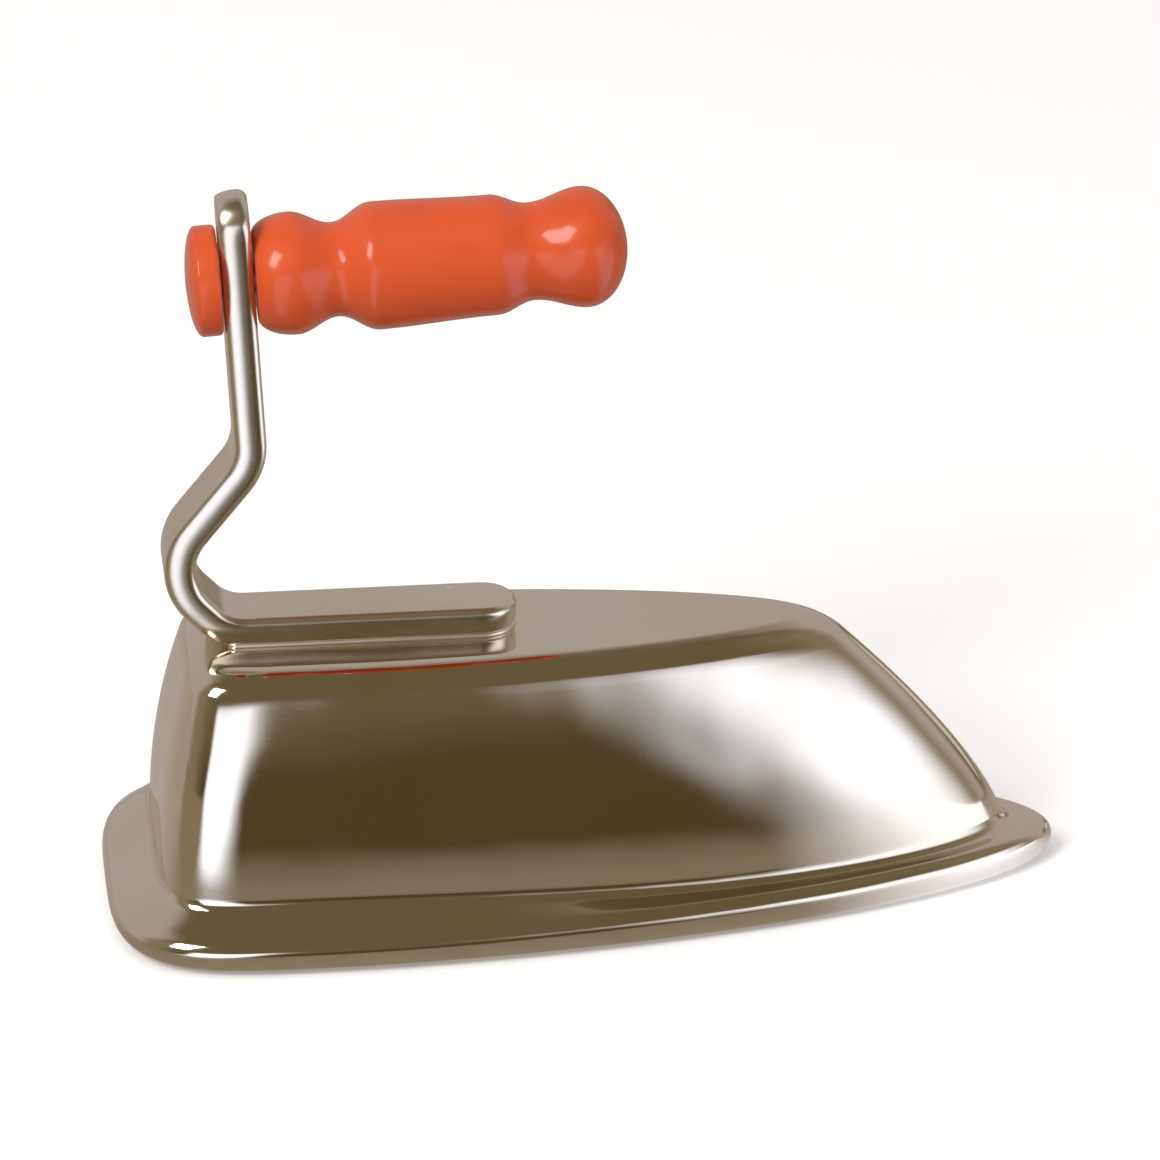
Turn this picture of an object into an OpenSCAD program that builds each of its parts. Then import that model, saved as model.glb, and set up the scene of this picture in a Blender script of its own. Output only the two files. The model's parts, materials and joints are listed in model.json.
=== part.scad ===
// Toy flat iron: pressed body with a rolled rim, bent strap, turned handle.
// Lengths are millimetres. +X points to the tip, +Z up, origin on the resting plane under the middle.

/* [Body] */
// Length over the rolled rim
iron_l = 58; // [54:0.5:66]
// Width over the rolled rim
iron_w = 23.6; // [21:0.1:28]
// Distance from the rear of the rim to the widest place
widest_x = 13; // [11:0.1:17]
// Height of the flat top above the resting plane
body_h = 17.3; // [15:0.1:22]
// Thickness of the pressed sheet
sheet_t = 0.5; // [0.3:0.05:0.6]
// Width of the flange at the rear and the nose, from the rim's edge to the foot of the wall
flange_w = 3; // [2.8:0.1:3.6]
// Width of the flange along the sides
side_flange_w = 2.6; // [2.5:0.1:3.2]
// Height of the foot of the wall above the resting plane
wall_foot_z = 3.6; // [3.4:0.05:4]
// How far the foot of the wall comes down on its way from the widest place to the nose
foot_drop = 1.15; // [0:0.05:1.15]
// How far the rear wall leans in between its foot and the shoulder
rear_lean = 2.3; // [1.4:0.1:2.8]
// How far each side wall leans in between its foot and the shoulder
side_lean = 3.4; // [2.4:0.1:3.8]
// How far the nose leans back between its foot and the shoulder
nose_lean = 11.6; // [7:0.1:14]
// Radius of the rounded shoulder around the top
shoulder_r = 1.3; // [0.8:0.1:2]

/* [Outline] */
// Squareness of the rim's rear corners
rim_corner = 3.7; // [3:0.1:6]
// Squareness of the wall's rear corners
wall_corner = 5.4; // [4:0.1:7]
// Fullness of the rim's nose, where 2 is an ellipse
rim_nose = 1.75; // [1.6:0.05:1.9]
// Fullness of the wall's nose
wall_nose = 1.9; // [1.8:0.05:2.1]
// Bulge of the rear and side walls, where 1 is straight
wall_bulge = 1.87; // [1:0.01:2.2]
// Bulge of the nose, where 1 is straight
nose_bulge = 1.37; // [1:0.01:2]

/* [Rim and sole] */
// Diameter of the rolled rim
rim_d = 2.25; // [2:0.05:2.6]
// Height of the rim above the resting plane, by which the sole stands proud
rim_lift = 0.15; // [0.05:0.05:0.4]
// Width of the lip that the rim folds under the sole plate, from the rim's edge
lip_w = 2.4; // [2:0.1:3]
// Thickness of the sole plate
sole_t = 0.8; // [0.5:0.05:1]
// Clearance around the sole plate inside the rim
sole_gap = 0.2; // [0.1:0.05:0.4]

/* [Strap] */
// Width of the strap
strap_w = 4.2; // [3.6:0.1:5.5]
// Thickness of the strap
strap_t = 1.9; // [1.4:0.1:2.2]
// Distance from the rear of the rim to the bend above the foot
foot_bend_x = 7.45; // [7:0.05:9.5]
// Length of the foot, from that bend to its round end
foot_l = 17.7; // [15:0.1:22]
// Length of the lower leg, from the foot's bend to the elbow
leg_l = 5.55; // [5.2:0.05:8]
// Slope of the lower leg, backwards from the vertical
leg_slope = 43.5; // [35:0.5:50]
// Length of the back slope, from the elbow to the upper bend
back_l = 9; // [7.5:0.1:13]
// Slope of the part above the elbow, forwards from the vertical
back_slope = 38.7; // [30:0.1:46]
// Length of the upright, from the upper bend to the handle's axis
upright_l = 11.55; // [9:0.05:16]
// Length of the upright above the handle's axis
tip_l = 5.55; // [4.5:0.05:8]
// Lean of the upright, backwards from the vertical
strap_lean = 3.1; // [0:0.1:8]
// Bend radius at the elbow and the upper bend, on the strap's middle line
bend_r = 3.7; // [2.6:0.1:4]
// Bend radius above the foot, on the strap's middle line
foot_bend_r = 3.2; // [1.6:0.1:3.8]

/* [Handle] */
// Clearance between the strap and the wood on each side of it
side_gap = 0.1; // [0.05:0.05:0.4]
// Diameter of the grip's rear face
face_d = 5; // [4.4:0.1:6.4]
// Diameter of the bulb next to the strap
bulb_d = 7.3; // [6.6:0.1:9]
// Distance from the grip's rear face to the fullest place of that bulb
bulb_at = 2.25; // [1.6:0.05:2.6]
// Diameter of the rear neck
neck_d = 5.6; // [4.5:0.1:6.4]
// Distance from the grip's rear face to the rear neck
neck_at = 4.75; // [4:0.05:5.5]
// Diameter of the barrel where it begins
barrel_d = 7.6; // [6.6:0.05:9]
// Distance from the grip's rear face to the beginning of the barrel
barrel_at = 7.15; // [6:0.05:8]
// Diameter of the barrel where it ends
barrel_end_d = 7.15; // [6.6:0.05:9]
// Distance from the grip's rear face to the end of the barrel
barrel_end_at = 14.15; // [12:0.05:15]
// Diameter of the front neck
front_neck_d = 5.8; // [4.5:0.1:6.4]
// Distance from the grip's rear face to the front neck
front_neck_at = 16.4; // [15.5:0.05:17]
// Diameter of the end bulb
end_bulb_d = 7.2; // [6.6:0.1:9]
// Distance from the grip's rear face to the fullest place of the end bulb
end_bulb_at = 19.6; // [18:0.05:20]
// Length of the grip
grip_l = 22.15; // [21:0.05:24]
// Diameter of the button behind the strap
button_d = 6.6; // [6:0.1:9]
// Thickness of the button at its middle
button_t = 2; // [1.9:0.05:3.5]
// Height of the button's domed rear
button_dome = 0.8; // [0.4:0.1:1.5]

/* [Pin and rivets] */
// Diameter of the pin that carries the handle
pin_d = 2; // [1.5:0.1:2.6]
// Radial clearance of the pin in the strap's eye
eye_gap = 0.05; // [0.02:0.01:0.1]
// Depth of the pin in the grip
pin_in_grip = 9; // [5:0.5:12]
// Depth of the pin in the button
pin_in_button = 1.2; // [0.8:0.1:1.6]
// Diameter of the rivets' shanks
rivet_d = 1.6; // [1.2:0.1:2]
// Diameter of the rivets' heads inside the body
rivet_head_d = 3; // [2.4:0.1:3.6]
// Height of the rivets' heads
rivet_head_h = 0.8; // [0.5:0.1:1.2]
// Diameter of the rivets' flush ends in the foot
flush_d = 2.6; // [2.2:0.1:3.2]
// Depth of the countersink under a flush end
flush_depth = 0.5; // [0.3:0.05:0.8]
// Distance from the foot's bend to the rear rivet
rear_rivet_at = 4.7; // [4:0.1:6]
// Distance from the foot's round end to the front rivet
front_rivet_at = 4.5; // [3.5:0.1:5.2]

/* [Hidden] */

// Smoothness of the turned pieces and of the bores
$fn = 64;
// Points along each quarter of the body's outline
quarter_points = 14;
ring_points = 4 * quarter_points;
// Steps along each bend of the strap and each curve of the turned profiles
bend_steps = 10;
curve_steps = 8;
// How far a cutter runs past the faces that it cuts
cut_over = 1;

rear_x = -iron_l / 2;
rim_r = rim_d / 2;
rim_z = rim_lift + rim_r;
wall_rise = body_h - wall_foot_z;
// Stretch from the widest place over which the wall's foot comes down
drop_run = (iron_l - widest_x) * 2 / 3;
shoulder_z = body_h - shoulder_r;
foot_z = body_h + strap_t;
rear_rivet_x = rear_x + foot_bend_x + rear_rivet_at;
front_rivet_x = rear_x + foot_bend_x + foot_l - front_rivet_at;
grip_start = strap_t / 2 + side_gap;
handle_axis = [cos(strap_lean), sin(strap_lean)];

// Corners of the strap's middle line, as [x, z]
foot_end = [rear_x + foot_bend_x + foot_l, body_h + strap_t / 2];
foot_bend = [rear_x + foot_bend_x, foot_end.y];
elbow = foot_bend + leg_l * [-sin(leg_slope), cos(leg_slope)];
upper_bend = elbow + back_l * [sin(back_slope), cos(back_slope)];
eye = upper_bend + upright_l * [-handle_axis.y, handle_axis.x];
strap_tip = eye + tip_l * [-handle_axis.y, handle_axis.x];

plated = "#b3a994";
steel = "#8f8f8c";
coral = "#e05a36";

// Boat-shaped outline, anticlockwise from the middle of the rear.
// rear, side and nose are the distances inside the rim's edge.
function boat(rear, side, nose, corner, full) =
    let (
        widest = rear_x + widest_x,
        rear_run = widest_x - rear,
        nose_run = iron_l - widest_x - nose,
        half_w = iron_w / 2 - side,
        step = 90 / quarter_points,
        right = concat(
            [for (k = [0 : quarter_points - 1])
                [widest - rear_run * pow(cos(k * step), 2 / corner), -half_w * pow(sin(k * step), 2 / corner)]],
            [for (k = [0 : quarter_points])
                [widest + nose_run * pow(sin(k * step), 2 / full),
                    -half_w * pow(cos(k * step), 2 / full)]]
        )
    )
    concat(right, [for (k = [2 * quarter_points - 1 : -1 : 1]) [right[k].x, -right[k].y]]);

function raised(outline, z) = [for (p = outline) [p.x, p.y, z]];

// Outline at one distance inside the rim's edge, all round
function rim_outline(inset) = boat(inset, inset, inset, rim_corner, rim_nose);
function rim_ring(inset, z) = raised(rim_outline(inset), z);

// Ring of the rolled rim's section at an angle, where 0 is its outer edge and -90 its underside
function rolled_ring(r, angle) = rim_ring(rim_r - r * cos(angle), rim_z + r * sin(angle));

// The nose slopes more than the walls, so a sheet of one thickness is wider there when cut level
nose_slant = sqrt(1 + pow(nose_lean / wall_rise, 2));

// How far the wall's foot has come down at a place along the iron
function drop_at(x) =
    let (share = max(0, min(1, (x - rear_x - widest_x) / drop_run)))
    foot_drop * share * share * (3 - 2 * share);

// Ring at a share of the wall's height, or at an angle round the shoulder, deep in the sheet or on its face
function wall_ring(share, angle, deep) =
    let (
        z = wall_foot_z + (shoulder_z - wall_foot_z) * share + shoulder_r * sin(angle),
        rise = (z - wall_foot_z) / wall_rise,
        lean = pow(rise, wall_bulge),
        tuck = (shoulder_r - deep) * (1 - cos(angle)),
        in = deep + tuck,
        level = z - deep * max(sin(angle), 1 - share),
        outline = boat(flange_w + in + rear_lean * lean, side_flange_w + in + side_lean * lean,
            flange_w + deep * nose_slant + tuck + nose_lean * pow(rise, nose_bulge), wall_corner, wall_nose)
    )
    [for (p = outline) [p.x, p.y, level - drop_at(p.x) * (1 - share)]];

// Rings around the sheet's section: under the lip, round the rim and up to the top, then back inside
function outer_rings() = concat(
    [rim_ring(lip_w, rim_lift)],
    [for (angle = [-90 : 30 : 60]) rolled_ring(rim_r, angle)],
    [for (k = [0 : 7]) wall_ring(k / 7, 0, 0)],
    [for (angle = [30 : 30 : 90]) wall_ring(1, angle, 0)]
);
function inner_rings() = concat(
    [for (angle = [90 : -45 : 45]) wall_ring(1, angle, sheet_t)],
    [for (k = [4 : -1 : 0]) wall_ring(k / 4, 0, sheet_t)],
    [for (angle = [60 : -30 : -90]) rolled_ring(rim_r - sheet_t, angle)],
    [rim_ring(lip_w, rim_lift + sheet_t)]
);

// Triangles between two rings, which start at two places in the list of points
function band(a, b) = [for (k = [0 : ring_points - 1], half = [0, 1])
    let (n = (k + 1) % ring_points)
    half == 0 ? [a + k, b + k, b + n] : [a + k, b + n, a + n]];

// Triangles of a flat lid over one ring, laid across its width, that face up
function lid(a) = concat(
    [for (k = [0 : ring_points / 2 - 2]) [a + k, a + ring_points - k - 1, a + k + 1]],
    [for (k = [1 : ring_points / 2 - 1]) [a + k, a + ring_points - k, a + ring_points - k - 1]]
);
function turned_over(faces) = [for (f = faces) [f[2], f[1], f[0]]];

// Middle line of a bend at b, on the way from a to c, as [x, z, heading] points
function bend(a, b, c, r) =
    let (
        way_in = atan2(b.y - a.y, b.x - a.x),
        way_out = atan2(c.y - b.y, c.x - b.x),
        turn = (way_out - way_in + 540) % 360 - 180,
        side = sign(turn),
        start = b - r * tan(abs(turn) / 2) * [cos(way_in), sin(way_in)]
    )
    [for (k = [0 : bend_steps])
        let (heading = way_in + turn * k / bend_steps)
        [start.x + side * r * (sin(heading) - sin(way_in)), start.y - side * r * (cos(heading) - cos(way_in)),
            heading]];

// The whole middle line, which runs past both ends so that they can be cut round
function strap_line() = concat(
    [[foot_end.x + cut_over, foot_end.y, 180]],
    bend(foot_end, foot_bend, elbow, foot_bend_r),
    bend(foot_bend, elbow, upper_bend, bend_r),
    bend(elbow, upper_bend, strap_tip, bend_r),
    [[strap_tip.x - cut_over * handle_axis.y, strap_tip.y + cut_over * handle_axis.x, 90 + strap_lean]]
);

function beside(line, d) = [for (p = line) [p.x - d * sin(p.z), p.y + d * cos(p.z)]];
function backwards(list) = [for (k = [len(list) - 1 : -1 : 0]) list[k]];

// Curve between two stations of a turned profile, as [radius, distance] points without the last
function swell(from, to) = [for (k = [0 : curve_steps - 1])
    let (share = (1 - cos(180 * k / curve_steps)) / 2)
    [from[0] + (to[0] - from[0]) * share, from[1] + (to[1] - from[1]) * k / curve_steps]];

// Quarter of an ellipse that opens a turned profile, from its flat face to its first full radius
function rounding(from, to) = [for (k = [0 : curve_steps - 1])
    let (angle = 90 * k / curve_steps)
    [from[0] + (to[0] - from[0]) * sin(angle), from[1] + (to[1] - from[1]) * (1 - cos(angle))]];

// Quarter of an ellipse that closes a turned profile at its end, from full radius to the axis
function dome(r, at, depth) = [for (k = [0 : curve_steps])
    let (angle = 90 * k / curve_steps)
    [r * cos(angle), at + depth * sin(angle)]];

module along_handle() {
    translate([eye.x, 0, eye.y])
        rotate([0, -strap_lean, 0])
            children();
}

// Solid turned about the handle's axis from [radius, distance in front of the eye] points
module turned(profile) {
    along_handle()
        rotate([0, 90, 0])
            rotate_extrude()
                polygon(profile);
}

module pin_bore(from, to, r) {
    along_handle()
        rotate([0, 90, 0])
            translate([0, 0, from])
                cylinder(h = to - from, r = r);
}

// Cuts for both rivets: a straight hole, and the countersink that ends level with the foot's top
module rivet_cuts() {
    flare = (flush_d - rivet_d) / 2 / flush_depth;
    for (x = [rear_rivet_x, front_rivet_x])
        translate([x, 0, 0])
            rotate_extrude()
                polygon([
                    [0, body_h - sheet_t - cut_over],
                    [rivet_d / 2, body_h - sheet_t - cut_over],
                    [rivet_d / 2, foot_z - flush_depth],
                    [flush_d / 2 + flare * cut_over, foot_z + cut_over],
                    [0, foot_z + cut_over]
                ]);
}

// All that lies past a strap's round end, with the strap along -X to the centre of the rounding
module past_end() {
    r = strap_w / 2;
    wide = r + cut_over;
    linear_extrude(3 * strap_t, center = true)
        polygon(concat(
            [[0, -wide], [wide + cut_over, -wide], [wide + cut_over, wide], [0, wide]],
            [for (k = [0 : 2 * bend_steps])
                let (angle = 90 - 90 * k / bend_steps)
                [r * cos(angle), r * sin(angle)]]
        ));
}

module body_shell() {
    outer = outer_rings();
    rings = concat(outer, inner_rings());
    top = len(outer) - 1;
    last = len(rings) - 1;
    bands = [for (k = [0 : last - 1]) if (k != top) each band(k * ring_points, (k + 1) * ring_points)];
    faces = concat(bands, band(last * ring_points, 0), lid(top * ring_points),
        turned_over(lid((top + 1) * ring_points)));
    color(plated)
        difference() {
            polyhedron(points = [for (ring = rings) each ring], faces = faces);
            rivet_cuts();
        }
}

// Flat plate pressed down in its middle, so that it stands below the lip that holds its edge
module sole_plate() {
    seat_z = rim_lift + sheet_t;
    field_in = lip_w + sole_gap;
    color(steel)
        union() {
            linear_extrude(sole_t)
                polygon(rim_outline(field_in));
            translate([0, 0, seat_z])
                linear_extrude(sole_t)
                    difference() {
                        polygon(rim_outline(rim_r + sole_gap));
                        polygon(rim_outline(field_in + sole_t));
                    }
        }
}

module handle_strap() {
    line = strap_line();
    color(plated)
        difference() {
            rotate([90, 0, 0])
                linear_extrude(strap_w, center = true)
                    polygon(concat(beside(line, strap_t / 2), backwards(beside(line, -strap_t / 2))));
            translate([foot_end.x - strap_w / 2, 0, foot_end.y])
                past_end();
            along_handle()
                translate([0, 0, tip_l - strap_w / 2])
                    rotate([0, -90, 0])
                        past_end();
            pin_bore(-strap_t, strap_t, pin_d / 2 + eye_gap);
            rivet_cuts();
        }
}

// Shank with a domed head inside the body and a countersunk end flush with the foot
module rivet(x) {
    head_z = body_h - sheet_t;
    head = [for (p = dome(rivet_head_d / 2, 0, rivet_head_h)) [p[0], head_z - p[1]]];
    color(steel)
        translate([x, 0, 0])
            rotate_extrude()
                polygon(concat(backwards(head), [
                    [rivet_d / 2, head_z],
                    [rivet_d / 2, foot_z - flush_depth],
                    [flush_d / 2, foot_z],
                    [0, foot_z]
                ]));
}

module front_rivet() {
    rivet(front_rivet_x);
}

module rear_rivet() {
    rivet(rear_rivet_x);
}

module grip() {
    face = [face_d / 2, 0];
    stations = [
        [bulb_d / 2, bulb_at],
        [neck_d / 2, neck_at],
        [barrel_d / 2, barrel_at],
        [barrel_end_d / 2, barrel_end_at],
        [front_neck_d / 2, front_neck_at],
        [end_bulb_d / 2, end_bulb_at]
    ];
    outside = concat(
        rounding(face, stations[0]),
        [for (k = [0 : len(stations) - 2]) each swell(stations[k], stations[k + 1])],
        dome(end_bulb_d / 2, end_bulb_at, grip_l - end_bulb_at)
    );
    color(coral)
        difference() {
            turned([for (p = concat([[0, 0]], outside)) [p[0], grip_start + p[1]]]);
            pin_bore(grip_start - cut_over, grip_start + pin_in_grip, pin_d / 2);
        }
}

module end_button() {
    outside = concat([[0, 0], [button_d / 2, 0]], dome(button_d / 2, button_t - button_dome, button_dome));
    color(coral)
        difference() {
            turned([for (p = backwards(outside)) [p[0], -grip_start - p[1]]]);
            pin_bore(-grip_start - pin_in_button, -grip_start + cut_over, pin_d / 2);
        }
}

module handle_pin() {
    color(steel)
        pin_bore(-grip_start - pin_in_button, grip_start + pin_in_grip, pin_d / 2);
}

body_shell();
sole_plate();
handle_strap();
front_rivet();
rear_rivet();
grip();
end_button();
handle_pin();
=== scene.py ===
# %% [markdown]
# # A doll-size toy iron
# The iron is a pressed metal body with a bent strap on its top and a small turned handle on the strap.
# Its construction comes in as a fixed frame: eight solids at their real size, sorted into the bodies that
# move. The cells below put smooth pieces and finishes around that frame, and never move it.

# %% Load the frame
import json
import math

import bmesh
import bpy
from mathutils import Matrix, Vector

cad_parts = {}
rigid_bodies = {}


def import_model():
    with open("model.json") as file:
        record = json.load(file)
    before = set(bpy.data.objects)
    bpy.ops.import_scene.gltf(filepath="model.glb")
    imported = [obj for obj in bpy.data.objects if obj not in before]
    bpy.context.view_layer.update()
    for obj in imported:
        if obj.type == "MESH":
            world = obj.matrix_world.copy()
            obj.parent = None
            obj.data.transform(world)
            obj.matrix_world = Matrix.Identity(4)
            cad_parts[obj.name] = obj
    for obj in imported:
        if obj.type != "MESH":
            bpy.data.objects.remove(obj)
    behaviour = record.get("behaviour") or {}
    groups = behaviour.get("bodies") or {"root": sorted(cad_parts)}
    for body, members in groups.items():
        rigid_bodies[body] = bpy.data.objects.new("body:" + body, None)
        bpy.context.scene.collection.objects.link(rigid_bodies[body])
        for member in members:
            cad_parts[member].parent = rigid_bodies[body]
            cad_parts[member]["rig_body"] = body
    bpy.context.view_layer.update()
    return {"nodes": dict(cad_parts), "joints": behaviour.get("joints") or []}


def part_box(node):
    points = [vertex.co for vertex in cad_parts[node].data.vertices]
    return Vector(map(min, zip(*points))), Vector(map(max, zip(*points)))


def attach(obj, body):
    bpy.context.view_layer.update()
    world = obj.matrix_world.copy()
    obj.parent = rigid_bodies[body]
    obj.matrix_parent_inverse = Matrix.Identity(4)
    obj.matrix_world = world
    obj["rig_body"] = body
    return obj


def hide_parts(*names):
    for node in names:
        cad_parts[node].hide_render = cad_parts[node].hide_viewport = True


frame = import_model()
print("nodes:", ", ".join(sorted(frame["nodes"])))

# %% [markdown]
# ## One way to make every pressed piece
# A press pushes flat sheet into a shape that is the same all the way round, so each level of it is one closed
# ring. A Subdivision Surface over a rough cage would be quick, but it rounds by guesswork. Here a circle of
# vertices is laid on the first ring, and its edges are extruded from level to level, so that every ring lies
# exactly where the section of the metal says.

# %% Rings of vertices
MM = 0.001


def smooth_step(share):
    """Eases from 0 to 1 and stays there outside that stretch."""
    share = min(1.0, max(0.0, share))
    return share * share * (3 - 2 * share)


def spread(first, last, count):
    """Values from first to last in even steps, both ends included."""
    return [first + (last - first) * k / count for k in range(count + 1)]


def lay(ring, points):
    for vert, point in zip(ring, points):
        vert.co = point


def pull(bm, ring, points):
    """Extrudes the edges of a ring and lays the new ring on its points."""
    edges = [bm.edges.get((a, b)) for a, b in zip(ring, ring[1:] + ring[:1])]
    made = bmesh.ops.extrude_edge_only(bm, edges=edges)["geom"]
    fresh = {v for v in made if isinstance(v, bmesh.types.BMVert)}
    pulled = [next(e.other_vert(v) for e in v.link_edges if e.other_vert(v) in fresh) for v in ring]
    lay(pulled, points)
    return pulled


def pressed(rings):
    """A mesh that runs through closed rings of points, from the first to the last."""
    bm = bmesh.new()
    ring = bmesh.ops.create_circle(bm, segments=len(rings[0]), radius=1)["verts"]
    lay(ring, rings[0])
    for points in rings[1:]:
        ring = pull(bm, ring, points)
    return bm


# %% From mesh to piece
DOUBLES = 0.002 * MM
SHARP = math.radians(35)


def close_up(bm):
    """Joins vertices that fell on one another and turns the faces outwards."""
    bmesh.ops.remove_doubles(bm, verts=bm.verts, dist=DOUBLES)
    bmesh.ops.dissolve_degenerate(bm, edges=bm.edges, dist=DOUBLES)
    bmesh.ops.recalc_face_normals(bm, faces=bm.faces)


def object_from(bm, name):
    """An object in the scene that takes over a mesh."""
    mesh = bpy.data.meshes.new(name)
    bm.to_mesh(mesh)
    bm.free()
    made = bpy.data.objects.new(name, mesh)
    bpy.context.scene.collection.objects.link(made)
    return made


def shade(mesh):
    """Shades a mesh smooth, but for its sharp edges."""
    mesh.shade_smooth()
    mesh.set_sharp_from_angle(angle=SHARP)


def dress(bm, name, node):
    """A piece that rides on the body of a node."""
    piece = object_from(bm, name)
    shade(piece.data)
    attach(piece, frame["nodes"][node]["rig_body"])
    return piece


def make_piece(bm, name, node):
    """A piece that also stands for the node."""
    piece = dress(bm, name, node)
    mesh = piece.data
    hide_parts(node)
    low, high = (Vector(f(v.co[k] for v in mesh.vertices) for k in range(3)) for f in (min, max))
    gap = max((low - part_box(node)[0]).length, (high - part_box(node)[1]).length)
    print(f"{name}: {len(mesh.polygons)} faces, corners within {gap / MM:.2f} mm of the node's")
    return piece


# %% [markdown]
# ## The pressed body
# The body is one piece of sheet: a flat top, a rounded shoulder, walls that bulge and lean in, a narrow
# flange and a rolled rim. Seen from above, each level is boat-shaped: a squarish rear and a long nose. Two
# halves of a superellipse, which is an ellipse with a free exponent, give both ends from one formula.

# %% Sizes of the body
shell_low, shell_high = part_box("body_shell")
LENGTH, WIDTH, _ = shell_high - shell_low
REAR_X = shell_low.x
TOP_Z = shell_high.z
RIM_LIFT = shell_low.z
WIDEST = 13 * MM
SHEET = 0.5 * MM
FLANGE = 3 * MM
SIDE_FLANGE = 2.6 * MM
FOOT_Z = 3.6 * MM
FOOT_DROP = 1.15 * MM
DROP_PACE = 1.5
FOOT_FILLET = 0.9 * MM
RIM_R = 1.125 * MM
LIP = 2.4 * MM
SHOULDER_R = 1.3 * MM
REAR_LEAN = 2.3 * MM
SIDE_LEAN = 3.4 * MM
NOSE_LEAN = 11.6 * MM
WALL_BULGE = 1.87
NOSE_BULGE = 1.37
RIM_CORNER = 3.7
WALL_CORNER = 5.4
RIM_NOSE = 1.75
WALL_NOSE = 1.9
REAR_STEPS = 44
NOSE_STEPS = 84
print(f"body {LENGTH / MM:.1f} by {WIDTH / MM:.1f} by {TOP_Z / MM:.1f} mm")

# %% Boat-shaped outlines
quarters = [("rear", math.pi / 2 * k / REAR_STEPS) for k in range(REAR_STEPS)]
quarters += [("nose", math.pi / 2 * k / NOSE_STEPS) for k in range(NOSE_STEPS + 1)]
PLACES = [(end, angle, -1) for end, angle in quarters]
PLACES += [(end, angle, 1) for end, angle in quarters[-2:0:-1]]


def rounded(angle, fullness):
    """Cosine and sine on a superellipse, in the direction of an angle."""
    c, s = math.cos(angle), math.sin(angle)
    reach = (abs(c) ** fullness + abs(s) ** fullness) ** (-1 / fullness)
    return c * reach, s * reach


def boat_point(place, rear, side, nose, corner, full):
    """Point of the outline that lies these distances inside the rim's edge."""
    end, angle, hand = place
    widest, half = REAR_X + WIDEST, WIDTH / 2 - side
    if end == "rear":
        c, s = rounded(angle, corner)
        return widest - (WIDEST - rear) * c, hand * half * s
    c, s = rounded(angle, full)
    return widest + (LENGTH - WIDEST - nose) * s, hand * half * c


def body_point(place, inset, level):
    """Point of the body at a distance inside the rim's edge, leaned in as the wall is at this level."""
    rise = max(0.0, (level - FOOT_Z) / (TOP_Z - FOOT_Z))
    lean = rise**WALL_BULGE
    share = min(1.0, max(0.0, (inset - RIM_R / 2) / (FLANGE - RIM_R / 2)))
    corner = RIM_CORNER + (WALL_CORNER - RIM_CORNER) * share
    full = RIM_NOSE + (WALL_NOSE - RIM_NOSE) * share
    rear = inset + REAR_LEAN * lean
    side = inset - (FLANGE - SIDE_FLANGE) * share + SIDE_LEAN * lean
    nose = inset + NOSE_LEAN * rise**NOSE_BULGE
    return boat_point(place, rear, side, nose, corner, full)


def drop_at(place):
    """How far the foot of the wall has come down at this place on its way to the nose."""
    x, _ = boat_point(place, FLANGE, SIDE_FLANGE, FLANGE, WALL_CORNER, WALL_NOSE)
    return FOOT_DROP * smooth_step((x - REAR_X - WIDEST) / (LENGTH - WIDEST) * DROP_PACE)


print(len(PLACES), "places round the body")

# %% [markdown]
# The section of the sheet is walked from the lip under the rim to the middle of the top: round the rolled
# rim, along the flange, through the small fillet at the foot of the wall, up the wall and over the shoulder.
# The fillet isn't a bevel added later, because its bright line is one of the things that make pressed metal
# look pressed, so its rings are part of the walk.

# %% Section of the sheet
ROLL_STEPS = 16
FLANGE_STEPS = 4
FILLET_STEPS = 7
WALL_STEPS = 22
SHOULDER_STEPS = 10
TOP_STEPS = 8


def arc(centre, radius, first, last, steps):
    """(inset, height) points on an arc, where angle 0 points out of the body and 90 degrees up."""
    angles = spread(first, last, steps)
    return [(centre[0] - radius * math.cos(a), centre[1] + radius * math.sin(a)) for a in angles]


def body_section(drop):
    """(inset, height, level) of every ring; the level is the height before the wall's foot came down."""
    roll = (RIM_R, RIM_LIFT + RIM_R)
    foot = (FLANGE, FOOT_Z - drop)
    reach = math.dist(roll, foot)
    leave = math.pi - math.atan2(foot[1] - roll[1], foot[0] - roll[0]) - math.acos(RIM_R / reach)
    bead = arc(roll, RIM_R, -math.pi / 2, leave, ROLL_STEPS)
    cut = FOOT_FILLET * math.tan(leave / 2)
    flat_end = (foot[0] - cut * math.sin(leave), foot[1] - cut * math.cos(leave))
    flange = list(zip(*(spread(a, b, FLANGE_STEPS) for a, b in zip(bead[-1], flat_end))))
    hollow = (FLANGE - FOOT_FILLET, foot[1] + cut)
    fillet = arc(hollow, FOOT_FILLET, leave - math.pi, -math.pi, FILLET_STEPS)
    low = [(inset, z, z) for inset, z in [(LIP, RIM_LIFT)] + bead + flange[1:]]
    low += [(inset, z, z + drop) for inset, z in fillet[1:]]
    shoulder = arc((FLANGE + SHOULDER_R, TOP_Z - SHOULDER_R), SHOULDER_R, 0, math.pi / 2, SHOULDER_STEPS)
    wall = [
        (FLANGE, level - drop * (1 - k / WALL_STEPS), level)
        for k, level in enumerate(spread(FOOT_Z + cut, shoulder[0][1], WALL_STEPS))
    ]
    middle = WIDTH / 2 - SIDE_LEAN + FLANGE - SIDE_FLANGE
    top = [(inset, TOP_Z) for inset in spread(shoulder[-1][0], middle, TOP_STEPS)]
    return low + wall[1:] + [(inset, z, z) for inset, z in shoulder[1:] + top[1:]]


sections = [body_section(drop_at(place)) for place in PLACES]
print(len(sections[0]), "rings from the lip to the middle of the top")

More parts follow.
